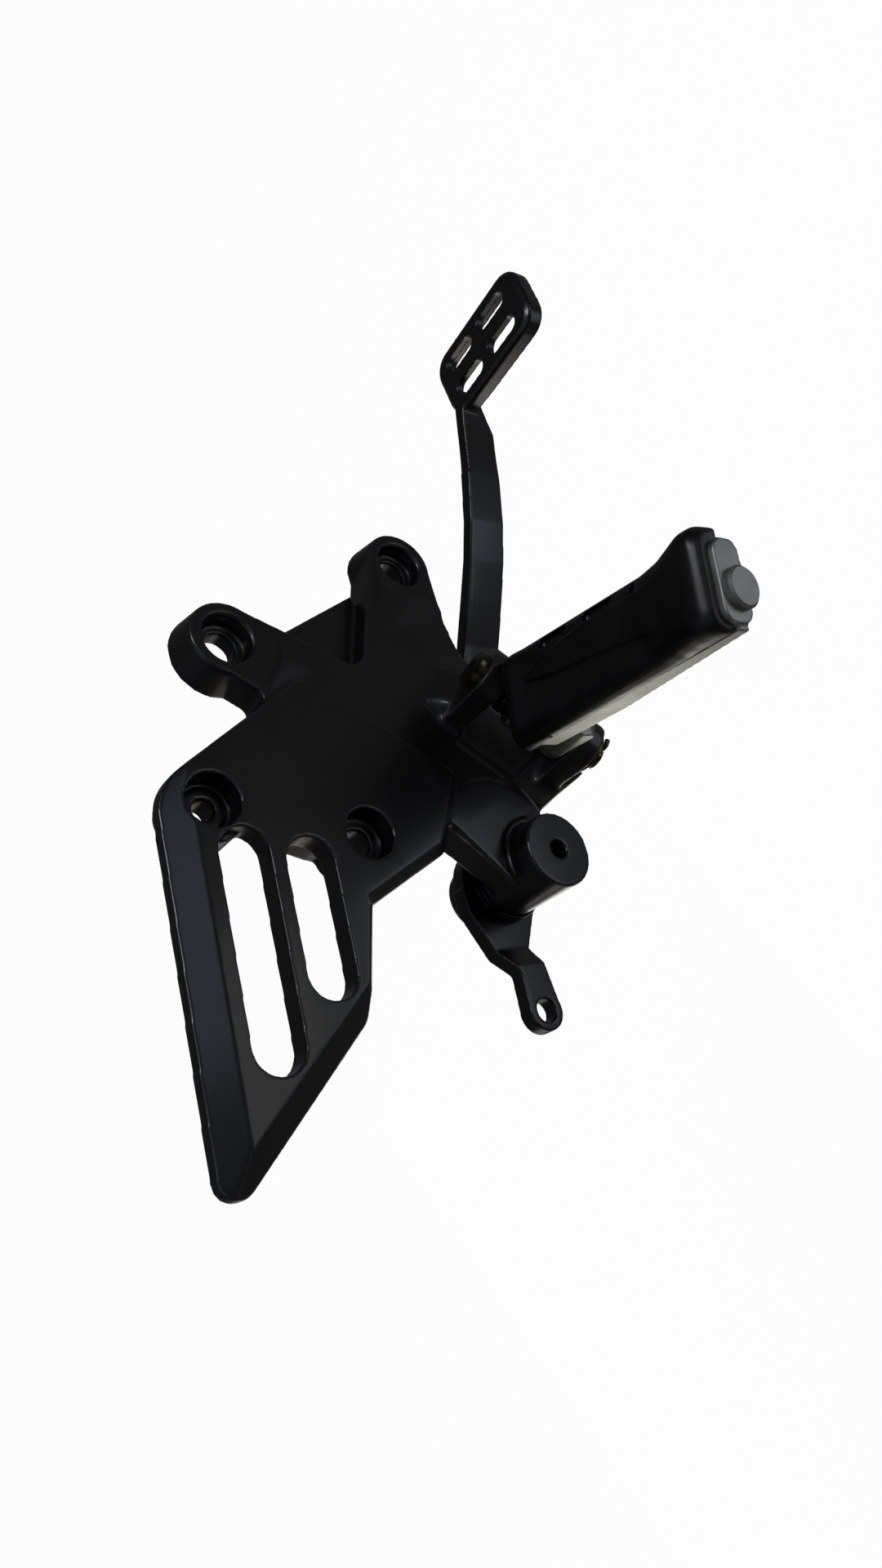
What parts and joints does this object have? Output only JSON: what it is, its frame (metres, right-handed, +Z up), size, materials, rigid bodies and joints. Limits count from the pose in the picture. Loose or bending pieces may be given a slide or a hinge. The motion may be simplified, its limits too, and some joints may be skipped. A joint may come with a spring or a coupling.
{
  "type": "motorcycle footpeg assembly",
  "caption": "Right-hand motorcycle rider's footrest hanger with an integral heel guard, a folding rubber-topped footpeg and a rear brake pedal.",
  "frame": {"origin": "the middle of the front frame bolt's hole, in the plane of the casting's frame-side faces", "axes": "+X forward along the motorcycle, +Y inward to the frame along the frame bolts and the pedal's pivot axis, +Z up"},
  "size_m": [0.2877, 0.1565, 0.1643],
  "materials": {
    "cast_black": "satin black paint on cast aluminium",
    "pedal_black": "satin black paint on forged aluminium",
    "steel": "zinc plated",
    "dark_steel": "black spring steel",
    "grey_metal": "bead-blasted grey",
    "yellow_zinc": "yellow zinc plated",
    "bronze": "oil bronze",
    "rubber": "smooth moulded black rubber"
  },
  "bodies": {
    "holder": {"step_holder": "cast_black", "pedal_pivot": "steel", "pivot_circlip": "steel", "thrust_washer": "steel", "wave_washer": "steel", "pedal_spring": "dark_steel", "footpeg_pin": "yellow_zinc", "footpeg_pin_washer": "yellow_zinc", "footpeg_cotter": "yellow_zinc", "footpeg_spring": "dark_steel"},
    "pedal": {"brake_pedal": "pedal_black", "pedal_bush": "bronze", "outer_dust_seal": "rubber", "inner_dust_seal": "rubber"},
    "peg": {"footpeg_bar": "grey_metal", "footpeg_rubber": "rubber", "footpeg_end_bolt": "grey_metal", "rubber_insert": "steel", "rubber_screw_inner": "steel", "rubber_screw_outer": "steel"}
  },
  "joints": [
    {"name": "footpeg_fold", "type": "hinge", "parent": "holder", "child": "peg", "pos_m": [-0.0675, -0.03, -0.023], "axis": [-0.6018, 0, -0.7986], "range_deg": [0, 60], "stiffness_Nm_per_rad": 0.3, "springref_deg": -34.38, "deforming": ["footpeg_spring"]},
    {"name": "brake_pedal_press", "type": "hinge", "parent": "holder", "child": "pedal", "pos_m": [-0.1145, 0, -0.0215], "axis": [0, 1, 0], "range_deg": [0, 12], "stiffness_Nm_per_rad": 1.5, "springref_deg": -28.65, "deforming": ["pedal_spring"]}
  ]
}
